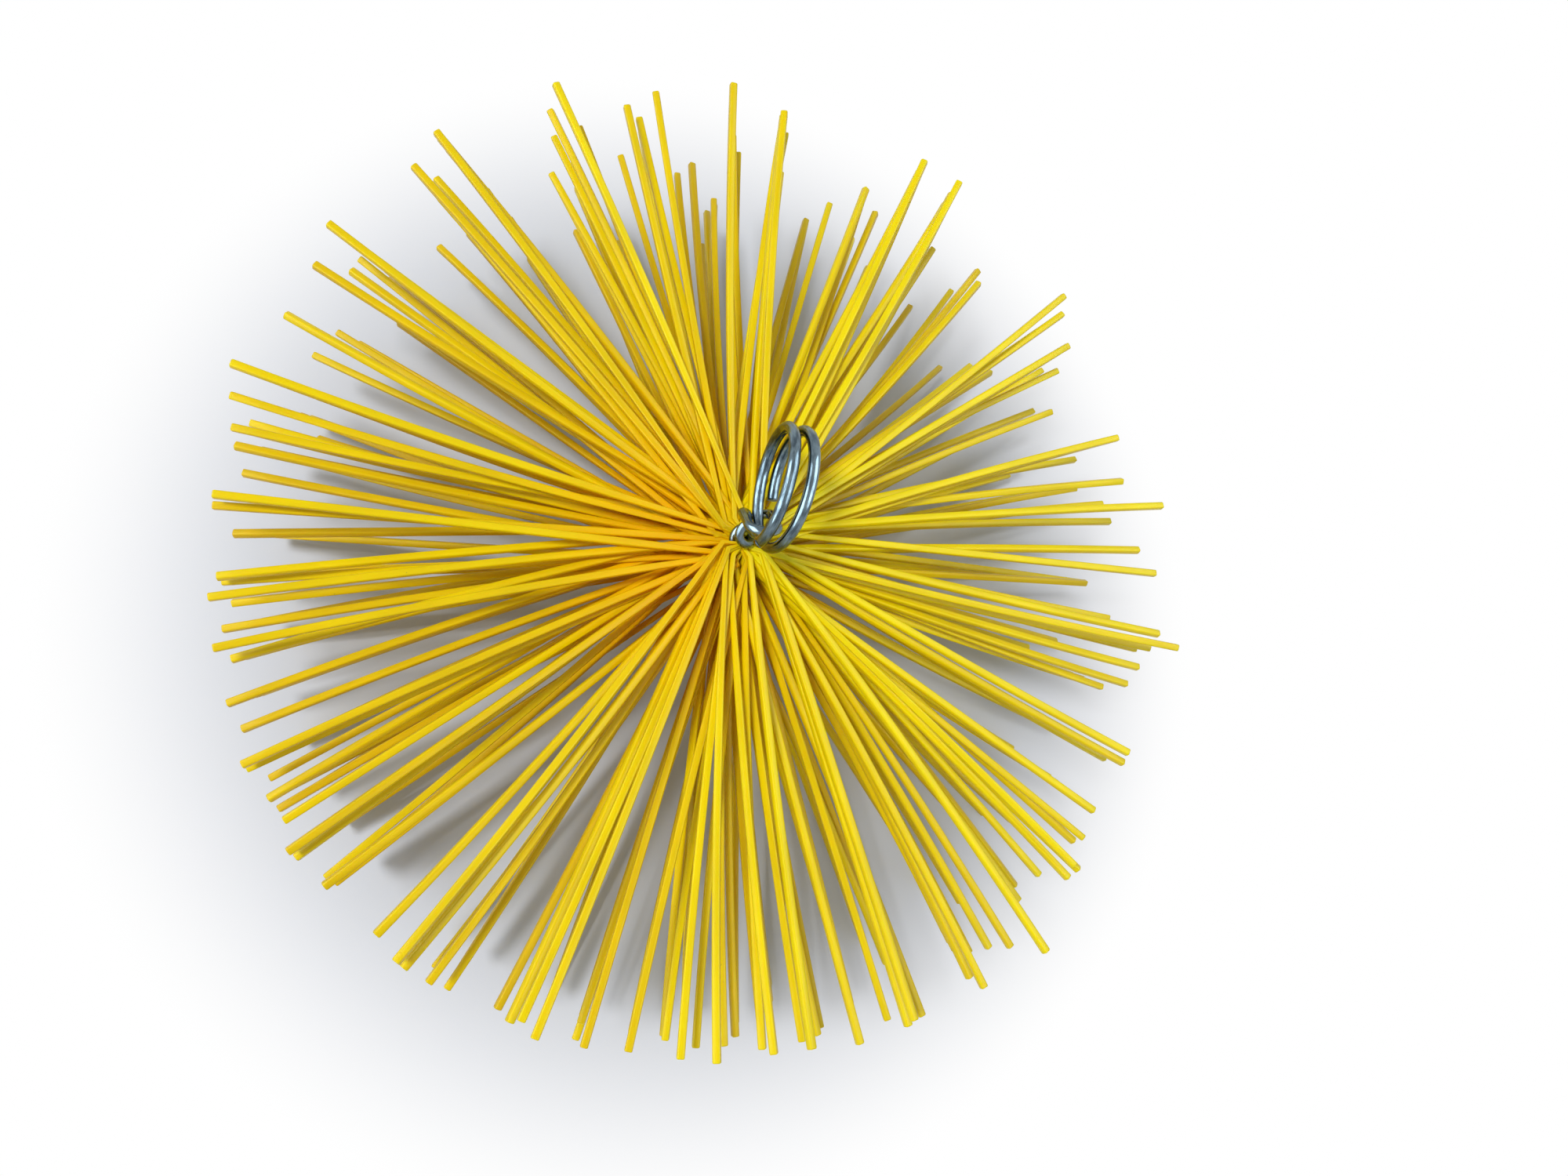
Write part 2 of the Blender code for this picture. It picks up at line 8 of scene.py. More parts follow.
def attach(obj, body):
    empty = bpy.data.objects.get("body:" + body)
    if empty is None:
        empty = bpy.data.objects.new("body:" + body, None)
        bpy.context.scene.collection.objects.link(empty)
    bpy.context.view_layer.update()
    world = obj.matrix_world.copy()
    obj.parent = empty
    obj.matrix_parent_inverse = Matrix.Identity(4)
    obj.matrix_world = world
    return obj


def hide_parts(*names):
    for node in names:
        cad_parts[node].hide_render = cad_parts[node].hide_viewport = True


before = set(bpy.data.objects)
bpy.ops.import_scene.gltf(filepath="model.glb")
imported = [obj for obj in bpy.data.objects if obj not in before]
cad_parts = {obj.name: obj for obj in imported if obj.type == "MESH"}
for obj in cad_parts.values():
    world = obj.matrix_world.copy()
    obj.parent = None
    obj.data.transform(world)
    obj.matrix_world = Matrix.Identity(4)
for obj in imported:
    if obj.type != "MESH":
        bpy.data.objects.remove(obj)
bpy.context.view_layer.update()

TURN = 2.0 * math.pi
UP = Vector((0.0, 0.0, 1.0))

# Sizes, as in the CAD source, in metres and degrees
BRUSH_DIAMETER = 0.250
FLOOR_CUT = 0.0005
STRAND_WIDTH = 0.0019
STRAND_SHORTFALL = 0.0070
STRAND_OVERREACH = 0.0040
HIDDEN_STRAND_TRIM = 0.0040
STRAND_BEND_REACH = 0.052
STRAND_BOW = 0.0011
STRAND_BOW_WAVES = 5
STRAND_SPACING_ANGLE = 1.9
LARGEST_STRAND_TURN = 12.0
FULL_REACH_BEARINGS = (0.0, 90.0, 180.0, 270.0)

# Spiral rows: each strand's height falls along the row, and so does its slope
ROW_START_BEARINGS = {"a": 225.0, "b": 45.0}
ROW_TURNS = 2
TUFTS_PER_ROW = 10
COLUMNS_PER_TUFT = 5
LAYERS = 3
TOP_SLOPE = 6.0
BOTTOM_SLOPE = -24.0
SLOPE_JITTER = 0.6
SCATTER_SEED = 41
STANDING_COLUMNS = 12

# The view of the photo: its directions, its distance as a share of the brush's diameter, the
# brush's width in pixels, and places in pixels right of the photo's middle and above it
VIEW_TOWARD = Vector((-0.267, -0.214, 0.940)).normalized()
VIEW_RIGHT = Vector((0.962, 0.0, 0.273)).normalized()
VIEW_UP = VIEW_TOWARD.cross(VIEW_RIGHT)
VIEW_DISTANCE_SHARE = 1.2
PIXELS_ACROSS_BRUSH = 1225.0
HUB_PIXEL = (-59.0, 58.0)
READING_CENTRE_PIXEL = (-62.0, 60.0)

# Tips read in the photo: bearing in degrees and reach in pixels round the reading centre
SHOWN_TIPS = (
    (3, 478), (4.7, 550), (5.75, 470), (8.8, 499), (13.5, 445), (15.1, 502), (22.3, 435),
    (23.6, 414), (27.9, 464), (29.1, 447), (30.4, 492), (33.5, 390), (34.75, 512), (36.7, 556),
    (40.3, 342), (46.7, 452), (48.1, 463), (49.2, 421), (53.3, 373), (56, 447), (56.8, 447),
    (58.1, 518), (63.6, 541), (64.2, 387), (66.9, 455), (68.9, 413), (69.7, 479), (74.4, 446),
    (77.6, 419), (83, 525), (83.6, 555), (89.6, 498), (90.3, 583), (93.6, 436), (95, 421),
    (96.6, 484), (99, 484), (100.1, 581), (102.9, 553), (104.1, 572), (106.6, 512), (110.2, 453),
    (110.7, 564), (111.5, 627), (113.3, 598), (114.2, 565), (116.6, 523), (116.1, 452),
    (117.1, 442), (125, 502), (125.4, 550), (126.2, 647), (129.6, 600), (130.7, 631), (130.9, 520),
    (135.2, 533), (142.1, 659), (143.1, 599), (144.9, 600), (146.75, 643), (146.9, 512),
    (152.3, 573), (153.3, 643), (156.2, 588), (160.6, 683), (163.9, 671), (166.3, 637),
    (167.25, 676), (169.2, 655), (172.1, 641), (174.9, 674), (175.7, 662), (179.1, 659),
    (183.9, 681), (184.5, 679), (186.1, 677), (187, 661), (189.75, 667), (191.6, 681), (193.2, 661),
    (197.75, 681), (200.9, 677), (204.4, 692), (205, 690), (207, 675), (208.9, 690), (210.4, 681),
    (211.75, 678), (214.75, 696), (215.75, 692), (219.4, 677), (220, 686), (220.5, 672),
    (227.6, 681), (231.1, 691), (232.1, 691), (234.8, 667), (235.2, 687), (237.2, 680), (243, 670),
    (244.8, 679), (245.9, 672), (248, 686), (252.2, 668), (253.3, 675), (258.1, 666), (261.75, 647),
    (262, 659), (263.9, 666), (265.5, 671), (267.9, 678), (268.75, 663), (270, 655), (273, 671),
    (274.25, 661), (277.6, 655), (278.5, 656), (279.4, 654), (279.9, 632), (283.9, 664),
    (287.6, 642), (289.6, 657), (290.4, 653), (291.4, 651), (298.2, 647), (299.1, 652),
    (299.6, 610), (301.9, 623), (304.1, 635), (307.1, 661), (308.2, 586), (309, 576), (312.25, 576),
    (314.6, 604), (316.2, 606), (318.4, 577), (319.5, 583), (323, 572), (329.5, 547), (330.2, 570),
    (331.6, 569), (338.3, 503), (339.9, 544), (342.6, 546), (344.9, 531), (345.5, 560),
    (346.4, 584), (347.6, 577), (348.4, 496), (353.2, 450), (358.7, 528),
)

# Strands are aimed at those tips in rounds. A misfit of this length counts as much as the largest
# turn aside, and a strand left over tries this many of the nearest tips
AIM_ROUNDS = 6
MISFIT_LENGTH = 0.0020
NEAREST_SHOWN = 12

# Twisted wire stem, its eye and the split ring, whose hidden end goes on past its solid's
WIRE_DIAMETER = 0.0024
TWIST_PITCH = 0.012
TWIST_RADIUS = 0.0022
CLOSED_TWIST_RADIUS = 0.00145
TWIST_CLOSING_LENGTH = 0.004
TAIL_LENGTH = 0.020
AXIS_STEPS_PER_DIAMETER = 16
CORE_RADIUS = 0.0052
NECK_REACH = 0.0024
LEAN_OUT = 30.0
LEAN_BACK = -39.0
LEAN_OUT_LENGTH = 0.005
LEAN_HELD_LENGTH = 0.0012
LEAN_BACK_LENGTH = 0.007
EYE_LENGTH = 0.015
EYE_HALF_WIDTH = 0.0036
EYE_OPENING_LENGTH = 0.0042
RING_WIRE_DIAMETER = 0.0028
RING_RADIUS = 0.0142
RING_PITCH = 0.0043
RING_SPREAD = 0.0008
RING_CLEARANCE = 0.00055
RING_REST_ELEVATION = 32.5
RING_ROCK = 6.0
RING_YAW = -6.5
RING_START_ANGLE = 30.0
RING_MIDDLE_ANGLE = 300.0
RING_SHOWN_END_ANGLE = 656.0

# Sizes that follow from the ones above
BRUSH_RADIUS = BRUSH_DIAMETER / 2
SHORTEST_STRAND = BRUSH_RADIUS - STRAND_SHORTFALL
LONGEST_STRAND = BRUSH_RADIUS + STRAND_OVERREACH
WIRE_RADIUS = WIRE_DIAMETER / 2
RING_WIRE_RADIUS = RING_WIRE_DIAMETER / 2
ROW_SPACING = TWIST_PITCH / 2
LAYER_SPACING = ROW_SPACING / LAYERS
COLUMNS = TUFTS_PER_ROW * COLUMNS_PER_TUFT
COLUMN_ANGLE = 360.0 * ROW_TURNS / COLUMNS
ROW_DROP = TWIST_PITCH * ROW_TURNS
SLOPE_FALL = (TOP_SLOPE - BOTTOM_SLOPE) / (ROW_DROP + 2 * LAYER_SPACING)
LOWEST_ROOT = BRUSH_RADIUS * math.sin(math.radians(-BOTTOM_SLOPE)) - FLOOR_CUT
ROW_TOP = LOWEST_ROOT + LAYER_SPACING + ROW_DROP
HUB_TOP = ROW_TOP + ROW_SPACING / 2
HUB_BOTTOM = ROW_TOP - ROW_DROP - ROW_SPACING / 2
VIEW_HEIGHT = ROW_TOP - ROW_DROP / 4
VIEW_DISTANCE = VIEW_DISTANCE_SHARE * BRUSH_DIAMETER
PIXELS_PER_METRE = PIXELS_ACROSS_BRUSH / BRUSH_DIAMETER
STRAND_RADIUS = STRAND_WIDTH / 2

# Camera, fitted to the outline in the photograph, with its sensor in millimetres
PHOTO_WIDTH_PIXELS = 2000.0
SENSOR_WIDTH = 36.0
NEAREST_SEEN = 0.01
FARTHEST_SEEN = 20.0


def make_camera():
    """A camera that sees the brush as the photo does."""
    data = bpy.data.cameras.new("photo_camera")
    data.sensor_width = SENSOR_WIDTH
    data.lens = SENSOR_WIDTH * PIXELS_PER_METRE * VIEW_DISTANCE / PHOTO_WIDTH_PIXELS
    data.clip_start = NEAREST_SEEN
    data.clip_end = FARTHEST_SEEN
    camera = bpy.data.objects.new("photo_camera", data)
    bpy.context.scene.collection.objects.link(camera)
    hub_aside = (VIEW_RIGHT * HUB_PIXEL[0] + VIEW_UP * HUB_PIXEL[1]) / PIXELS_PER_METRE
    place = UP * VIEW_HEIGHT - hub_aside + VIEW_TOWARD * VIEW_DISTANCE
    columns = Matrix((VIEW_RIGHT, VIEW_UP, VIEW_TOWARD)).transposed().to_4x4()
    camera.matrix_world = Matrix.Translation(place) @ columns
    bpy.context.scene.camera = camera


make_camera()


# Small helpers
def smooth(share):
    """Ease from 0 to 1."""
    held = min(max(share, 0.0), 1.0)
    return held * held * (3.0 - 2.0 * held)


def round_outline(sides):
    """A circle of radius 1, anticlockwise."""
    return [(math.cos(TURN * k / sides), math.sin(TURN * k / sides)) for k in range(sides)]


def bar_outline(corner_share, steps):
    """A square of half width 1 with corners rounded to a share of it, anticlockwise."""
    outline = []
    for quarter in range(4):
        middle = math.radians(45.0 + 90.0 * quarter)
        centre_x = math.copysign(1.0 - corner_share, math.cos(middle))
        centre_y = math.copysign(1.0 - corner_share, math.sin(middle))
        for k in range(steps + 1):
            angle = math.radians(90.0 * (quarter + k / steps))
            across = centre_x + corner_share * math.cos(angle)
            above = centre_y + corner_share * math.sin(angle)
            outline.append((across, above))
    return outline


def blend(start, end, share):
    """The value a share of the way from start to end."""
    return start + (end - start) * share


def heading(bearing):
    """Level unit vector at a bearing in degrees, anticlockwise from +X."""
    angle = math.radians(bearing)
    return Vector((math.cos(angle), math.sin(angle), 0.0))


def row_height(swept):
    """Height of a row's middle layer after it has swept this many degrees."""
    return ROW_TOP - TWIST_PITCH * swept / 360.0


def slope_at(height):
    """Slope of a strand in degrees, from the height of its root."""
    return TOP_SLOPE - SLOPE_FALL * (ROW_TOP + LAYER_SPACING - height)


class Body:
    """Vertices, faces and values at the vertices of one piece, which is made of swept bars."""

    def __init__(self):
        self.verts = []
        self.faces = []
        self.slots = []
        self.grain = []
        self.tone_and_shade = []
        self.painted_glow = []
        self.run = []

    def sweep(self, points, radii, outline, colours=(0.0, 0.0), offset=0.0, side=None, rolls=None,
              cut_slot=0, start_slant=None):
        """A bar along points. Its section at radius 1 is outline, and start_slant is normal to its cut."""
        base = len(self.verts)
        count = len(points)
        sides = len(outline)
        tangents = []
        for n in range(count):
            ahead = points[min(n + 1, count - 1)]
            behind = points[max(n - 1, 0)]
            tangents.append((ahead - behind).normalized())
        side = side or tangents[0].orthogonal()
        travelled = 0.0
        for n, tangent in enumerate(tangents):
            side = (side - tangent * side.dot(tangent)).normalized()
            other = tangent.cross(side)
            if n:
                travelled += (points[n] - points[n - 1]).length
            slant = start_slant if n == 0 else None
            roll = rolls[n] if rolls else 0.0
            for across, above in outline:
                turned_across = across * math.cos(roll) - above * math.sin(roll)
                turned_above = across * math.sin(roll) + above * math.cos(roll)
                place = points[n] + (side * turned_across + other * turned_above) * radii[n]
                if slant is not None:
                    place = place - tangent * ((place - points[n]).dot(slant) / tangent.dot(slant))
                self.verts.append(place)
                self.grain.append((across, above, travelled + offset))
                self.tone_and_shade.append(colours[0])
                self.painted_glow.append(colours[1])
                self.run.append(travelled)
        for n in range(count - 1):
            for k in range(sides):
                a = base + n * sides + k
                b = base + n * sides + (k + 1) % sides
                self.faces.append((a, b, b + sides, a + sides))
                self.slots.append(0)
        for first, flip in ((base, True), (base + (count - 1) * sides, False)):
            loop = [first + k for k in range(sides)]
            self.faces.append(tuple(reversed(loop)) if flip else tuple(loop))
            self.slots.append(cut_slot)

    def make(self, name, materials):
        """The piece as an object, with its values as attributes that the materials read."""
        mesh = bpy.data.meshes.new(name)
        mesh.from_pydata([tuple(v) for v in self.verts], [], self.faces)
        for material in materials:
            mesh.materials.append(material)
        mesh.polygons.foreach_set("material_index", self.slots)
        mesh.polygons.foreach_set("use_smooth", [len(face) == 4 for face in self.faces])
        grain = mesh.attributes.new("grain", "FLOAT_VECTOR", "POINT")
        grain.data.foreach_set("vector", [value for item in self.grain for value in item])
        for label, values in (("tone_and_shade", self.tone_and_shade), ("painted_glow", self.painted_glow), ("run", self.run)):
            layer = mesh.attributes.new(label, "FLOAT", "POINT")
            layer.data.foreach_set("value", values)
        mesh.validate()
        mesh.update()
        piece = bpy.data.objects.new(name, mesh)
        bpy.context.scene.collection.objects.link(piece)
        return piece


# Materials. These sockets of a mix node take its two colours and give the mixed one
FIRST_COLOUR_INPUT = 6
SECOND_COLOUR_INPUT = 7
MIXED_COLOUR_OUTPUT = 2


class Nodes:
    """A short way to write a material's nodes."""

    def __init__(self, name):
        self.material = bpy.data.materials.new(name)
        self.material.use_nodes = True
        self.tree = self.material.node_tree
        self.shader = self.tree.nodes["Principled BSDF"]
        self.output = self.tree.nodes["Material Output"]

    def add(self, kind, **values):
        """A new node with these properties."""
        node = self.tree.nodes.new(kind)
        for key, value in values.items():
            setattr(node, key, value)
        return node

    def join(self, source, target):
        """Link an output to an input."""
        self.tree.links.new(source, target)

    def feed(self, target, value):
        """Give an input a value, or link it to an output."""
        if isinstance(value, bpy.types.NodeSocket):
            self.join(value, target)
        else:
            target.default_value = value

    def attribute(self, name, output="Fac"):
        """An attribute of the piece's vertices."""
        node = self.add("ShaderNodeAttribute", attribute_type="GEOMETRY", attribute_name=name)
        return node.outputs[output]

    def combine(self, operation, first, second):
        """The result of an operation on two numbers."""
        node = self.add("ShaderNodeMath", operation=operation)
        self.feed(node.inputs[0], first)
        self.feed(node.inputs[1], second)
        return node.outputs[0]

    def remap(self, value, low, high, to_low=0.0, to_high=1.0, interpolation="SMOOTHSTEP"):
        """A value's range from low to high, carried over to another and held at its ends."""
        node = self.add("ShaderNodeMapRange", interpolation_type=interpolation)
        self.feed(node.inputs["Value"], value)
        self.feed(node.inputs["From Min"], low)
        self.feed(node.inputs["From Max"], high)
        self.feed(node.inputs["To Min"], to_low)
        self.feed(node.inputs["To Max"], to_high)
        return node.outputs["Result"]

    def mix(self, share, first, second, blend_type="MIX"):
        """Two colours made into one, by a share of the second."""
        node = self.add("ShaderNodeMix", data_type="RGBA", blend_type=blend_type)
        self.feed(node.inputs[0], share)
        self.feed(node.inputs[FIRST_COLOUR_INPUT], first)
        self.feed(node.inputs[SECOND_COLOUR_INPUT], second)
        return node.outputs[MIXED_COLOUR_OUTPUT]

    def noise(self, vector, fineness, detail, roughness=0.5):
        """Noise that changes faster along each axis by its fineness."""
        place = self.add("ShaderNodeVectorMath", operation="MULTIPLY")
        self.join(vector, place.inputs[0])
        place.inputs[1].default_value = fineness
        node = self.add("ShaderNodeTexNoise")
        self.join(place.outputs[0], node.inputs["Vector"])
        node.inputs["Scale"].default_value = 1.0
        node.inputs["Detail"].default_value = detail
        node.inputs["Roughness"].default_value = roughness
        return node.outputs["Fac"]

    def bump(self, height, strength, distance):
        """Bumps in the surface's shading."""
        node = self.add("ShaderNodeBump")
        node.inputs["Strength"].default_value = strength
        node.inputs["Distance"].default_value = distance
        self.feed(node.inputs["Height"], height)
        self.join(node.outputs["Normal"], self.shader.inputs["Normal"])


# Bristles: lemon to golden, partly each strand's own colour and partly painted shade, and a painted orange
# glow near the twist, which fades out between two lengths along a strand
LEMON = (0.86, 0.68, 0.0, 1.0)
GOLD_AND_SHADE = (0.66, 0.43, 0.0, 1.0)
PAINTED_GLOW_ORANGE = (0.94, 0.46, 0.0, 1.0)
HIGHLIGHT = (1.0, 0.92, 0.45, 1.0)
SPECK = (0.20, 0.16, 0.05, 1.0)
PAINTED_GLOW_REACHES = (0.012, 0.065)
MOST_PAINTED_GLOW_SHARE = 0.95
BRISTLE_ROUGHNESS = (0.26, 0.42)
BRISTLE_IOR = 1.49
BRISTLE_SPECULAR_LEVEL = 0.28
SCATTERED_SHARE = 0.30
SCATTER_LENGTH = 0.003
SCATTER_SHARES = (1.0, 0.45, 0.02)

# Noise in the bristles, by its fineness per half width across a strand and per metre along it: slow
# drifts of shade, short dark specks and fine drawn lines. Levels are the range of it that is used,
# and a bump is its strength and its depth in metres
MIDDLE_LEVELS = (0.3, 0.7)
DRIFT_FINENESS = (0.25, 0.25, 45.0)
DRIFT_DETAIL = 3.0
DRIFT_SHADES = (0.90, 1.06)
SPECK_FINENESS = (1.6, 1.6, 1300.0)
SPECK_DETAIL = 1.0
SPECK_LEVELS = (0.80, 0.84)
SPECK_SHARES = (0.0, 0.55)
LINE_FINENESS = (9.0, 9.0, 60.0)
LINE_DETAIL = 2.0
LINE_BUMP = (0.20, 0.00010)


def bristle_plastic():
    """Satin yellow polypropylene: each strand its own colour with painted shade, painted orange light near
    the twist, drawn lines and specks.
    """
    n = Nodes("bristle_plastic")
    grain = n.attribute("grain", "Vector")
    tone_and_shade = n.attribute("tone_and_shade")
    run = n.attribute("run")
    # Gold here is partly each strand's own colour and partly painted shade
    colour = n.mix(tone_and_shade, LEMON, GOLD_AND_SHADE)
    # Painted glow: orange near the twist, where light bounces and passes among the bristles, fading out
    # along each strand
    near = n.remap(run, *PAINTED_GLOW_REACHES, MOST_PAINTED_GLOW_SHARE, 0.0)
    colour = n.mix(n.combine("MULTIPLY", near, n.attribute("painted_glow")), colour, PAINTED_GLOW_ORANGE)
    drift = n.noise(grain, DRIFT_FINENESS, DRIFT_DETAIL)
    shade = n.remap(drift, *MIDDLE_LEVELS, *DRIFT_SHADES, "LINEAR")
    tint = n.add("ShaderNodeCombineColor")
    for socket in tint.inputs[:3]:
        n.join(shade, socket)
    colour = n.mix(1.0, colour, tint.outputs[0], "MULTIPLY")
    specks = n.noise(grain, SPECK_FINENESS, SPECK_DETAIL)
    colour = n.mix(n.remap(specks, *SPECK_LEVELS, *SPECK_SHARES), colour, SPECK)
    n.join(colour, n.shader.inputs["Base Color"])
    lines = n.noise(grain, LINE_FINENESS, LINE_DETAIL)
    n.join(n.remap(lines, *MIDDLE_LEVELS, *BRISTLE_ROUGHNESS), n.shader.inputs["Roughness"])
    n.bump(lines, *LINE_BUMP)
    n.shader.inputs["IOR"].default_value = BRISTLE_IOR
    n.shader.inputs["Specular IOR Level"].default_value = BRISTLE_SPECULAR_LEVEL
    n.shader.inputs["Specular Tint"].default_value = HIGHLIGHT
    n.shader.inputs["Subsurface Weight"].default_value = SCATTERED_SHARE
    n.shader.inputs["Subsurface Scale"].default_value = SCATTER_LENGTH
    n.shader.inputs["Subsurface Radius"].default_value = SCATTER_SHARES
    return n.material


# Wires: light and dark greys and the range of roughness of each, then the noise in both, by its
# fineness across the wire and along it as above: long thin streaks, and short wide patches
ZINC_LIGHT = (0.19, 0.25, 0.28, 1.0)
ZINC_DARK = (0.08, 0.11, 0.13, 1.0)
ZINC_ROUGHNESS = (0.12, 0.24)
STEEL_LIGHT = (0.17, 0.23, 0.265, 1.0)
STEEL_DARK = (0.06, 0.085, 0.105, 1.0)
STEEL_ROUGHNESS = (0.10, 0.22)
WIRE_NOISE_ROUGHNESS = 0.6
STREAK_FINENESS = (6.0, 6.0, 70.0)
STREAK_DETAIL = 3.0
STREAK_LEVELS = (0.52, 0.70)
STREAK_SHARES = (0.0, 0.5)
PATCH_FINENESS = (1.1, 1.1, 260.0)
PATCH_DETAIL = 4.0
PATCH_LEVELS = (0.35, 0.68)
DULL_LEVELS = (0.38, 0.64)
WIRE_BUMP = (0.12, 0.00010)


def wire_metal(name, light, dark, roughness):
    """Drawn wire: darker patches and streaks along it, which are also duller."""
    n = Nodes(name)
    grain = n.attribute("grain", "Vector")
    streaks = n.noise(grain, STREAK_FINENESS, STREAK_DETAIL, WIRE_NOISE_ROUGHNESS)
    patches = n.noise(grain, PATCH_FINENESS, PATCH_DETAIL, WIRE_NOISE_ROUGHNESS)
    colour = n.mix(n.remap(patches, *PATCH_LEVELS), light, dark)
    colour = n.mix(n.remap(streaks, *STREAK_LEVELS, *STREAK_SHARES), colour, dark)
    n.join(colour, n.shader.inputs["Base Color"])
    dull = n.combine("DIVIDE", n.combine("ADD", streaks, patches), 2.0)
    n.join(n.remap(dull, *DULL_LEVELS, *roughness), n.shader.inputs["Roughness"])
    n.bump(dull, *WIRE_BUMP)
    n.shader.inputs["Metallic"].default_value = 1.0
    return n.material


# Sheared ends, with the fineness of their tears per metre along the piece's axes
CUT_DARK = (0.14, 0.17, 0.18, 1.0)
CUT_LIGHT = (0.40, 0.44, 0.45, 1.0)
CUT_ROUGHNESS = (0.42, 0.65)
TEAR_FINENESS = (900.0, 3200.0, 900.0)
TEAR_DETAIL = 4.0
TEAR_NOISE_ROUGHNESS = 0.7
TEAR_BUMP = (0.8, 0.0002)


def cut_metal():
    """The sheared end of the wire: rough grey with tear lines."""
    n = Nodes("cut_wire_end")
    place = n.add("ShaderNodeTexCoord").outputs["Object"]
    tears = n.noise(place, TEAR_FINENESS, TEAR_DETAIL, TEAR_NOISE_ROUGHNESS)
    colour = n.mix(n.remap(tears, *MIDDLE_LEVELS), CUT_DARK, CUT_LIGHT)
    n.join(colour, n.shader.inputs["Base Color"])
    n.join(n.remap(tears, *MIDDLE_LEVELS, *CUT_ROUGHNESS), n.shader.inputs["Roughness"])
    n.bump(tears, *TEAR_BUMP)
    n.shader.inputs["Metallic"].default_value = 1.0
    return n.material


BRISTLE = bristle_plastic()
ZINC = wire_metal("bright_wire", ZINC_LIGHT, ZINC_DARK, ZINC_ROUGHNESS)
STEEL = wire_metal("ring_wire", STEEL_LIGHT, STEEL_DARK, STEEL_ROUGHNESS)
CUT = cut_metal()


# Bristle shapes: flat-sided filaments that cross near the twist, each a little aside of its solid's
# root. Rolls and twists are in radians
STRAND_STATIONS = 14
STRAND_CORNER_SHARE = 0.42
STRAND_CORNER_STEPS = 2
STRAND_OUTLINE = bar_outline(STRAND_CORNER_SHARE, STRAND_CORNER_STEPS)
SQUEEZED_RADIUS = 0.00035
SQUEEZED_LAYER_SPACING = 0.00042
SQUEEZED_START_REACH = 0.0006
ROOT_RADIUS = 0.00066
FULL_WIDTH_REACHES = (0.012, 0.060)
ROOT_SHIFT = 0.0042
ROOT_LIFT = 0.0010
LARGEST_ROLL = 0.30
LARGEST_TWIST = 0.35
FLOOR_GAP = 0.00008
LARGEST_GRAIN_OFFSET = 50.0
SHAPE_SEED = 7

# A strand's cut end: how far back each ring of points lies and its width, as shares of the radius
ROUNDED_END_SHARES = ((0.36, 1.0), (0.12, 0.93), (0.0, 0.78))

# Bearing in the view at which painted shade makes the strands most golden. Then the shares of gold in a
# strand, and of the painted orange glow near its root: the middle one, what its bearing and depth add as
# painted shade and painted glow, and what chance adds to the gold as the strand's own colour
PAINTED_SHADE_BEARING = 185.0
MIDDLE_GOLD_SHARE = 0.26
FACING_SHADE_SHARE = 0.34
DEEP_SHADE_SHARE = 0.35
CHANCE_GOLD_SHARE = 0.28
MIDDLE_PAINTED_GLOW_SHARE = 0.25
FACING_PAINTED_GLOW_SHARE = 0.40
DEEP_PAINTED_GLOW_SHARE = 0.75


def photo_place(point):
    """Bearing in degrees and reach in pixels of a point, as the photo shows it."""
    offset = point - UP * VIEW_HEIGHT
    nearness = 1.0 / (1.0 - offset.dot(VIEW_TOWARD) / VIEW_DISTANCE)
    right = (offset.dot(VIEW_RIGHT) * PIXELS_PER_METRE + HUB_PIXEL[0]) * nearness - READING_CENTRE_PIXEL[0]
    above = (offset.dot(VIEW_UP) * PIXELS_PER_METRE + HUB_PIXEL[1]) * nearness - READING_CENTRE_PIXEL[1]
    return math.degrees(math.atan2(above, right)), math.hypot(right, above)


def angle_between(start, end):
    """Angle from one bearing to another, from -180 to 180 degrees."""
    return (end - start + 180.0) % 360.0 - 180.0


def root_bearing(row, column):
    """Bearing in degrees of a strand's root."""
    return ROW_START_BEARINGS[row] + COLUMN_ANGLE * (column + 0.5)


def strand_tip(slot, bearing, length, slope_shift):
    """Tip of the strand in a slot, which is its row, column and layer."""
    row, column, layer = slot
    height = row_height(bearing - ROW_START_BEARINGS[row]) + LAYER_SPACING * (layer - 1)
    slope = math.radians(slope_at(height) + slope_shift)
    tip = heading(bearing) * length * math.cos(slope) + UP * (height + length * math.sin(slope))
    if layer == 0 and column >= COLUMNS - STANDING_COLUMNS:
        tip.z = STRAND_RADIUS * math.cos(slope) - FLOOR_CUT
    return tip


def aim(slot, slope_shift, shown_bearing, shown_reach):
    """Bearing and length that show a slot's tip at a place in the photo."""
    bearing = root_bearing(*slot[:2])
    for _ in range(AIM_ROUNDS):
        seen, longest_reach = photo_place(strand_tip(slot, bearing, LONGEST_STRAND, slope_shift))
        bearing += angle_between(seen, shown_bearing)
    _, shortest_reach = photo_place(strand_tip(slot, bearing, SHORTEST_STRAND, slope_shift))
    share = (shown_reach - shortest_reach) / (longest_reach - shortest_reach)
    return bearing, blend(SHORTEST_STRAND, LONGEST_STRAND, share)


def has_room(lane, column, bearing):
    """True if a free column's strand keeps its order and spacing in its lane, a layer of a row."""
    return column not in lane and all(
        (placed - bearing) / (other - column) >= STRAND_SPACING_ANGLE
        for other, (placed, _) in lane.items())


def trimmed(length):
    """A length kept between the shortest and the longest strand's."""
    return min(max(length, SHORTEST_STRAND), LONGEST_STRAND)


def turn_at(row, column, bearing):
    """How far a strand turns aside from its root's bearing, as a share of the most it may."""
    return abs(bearing - root_bearing(row, column)) / LARGEST_STRAND_TURN


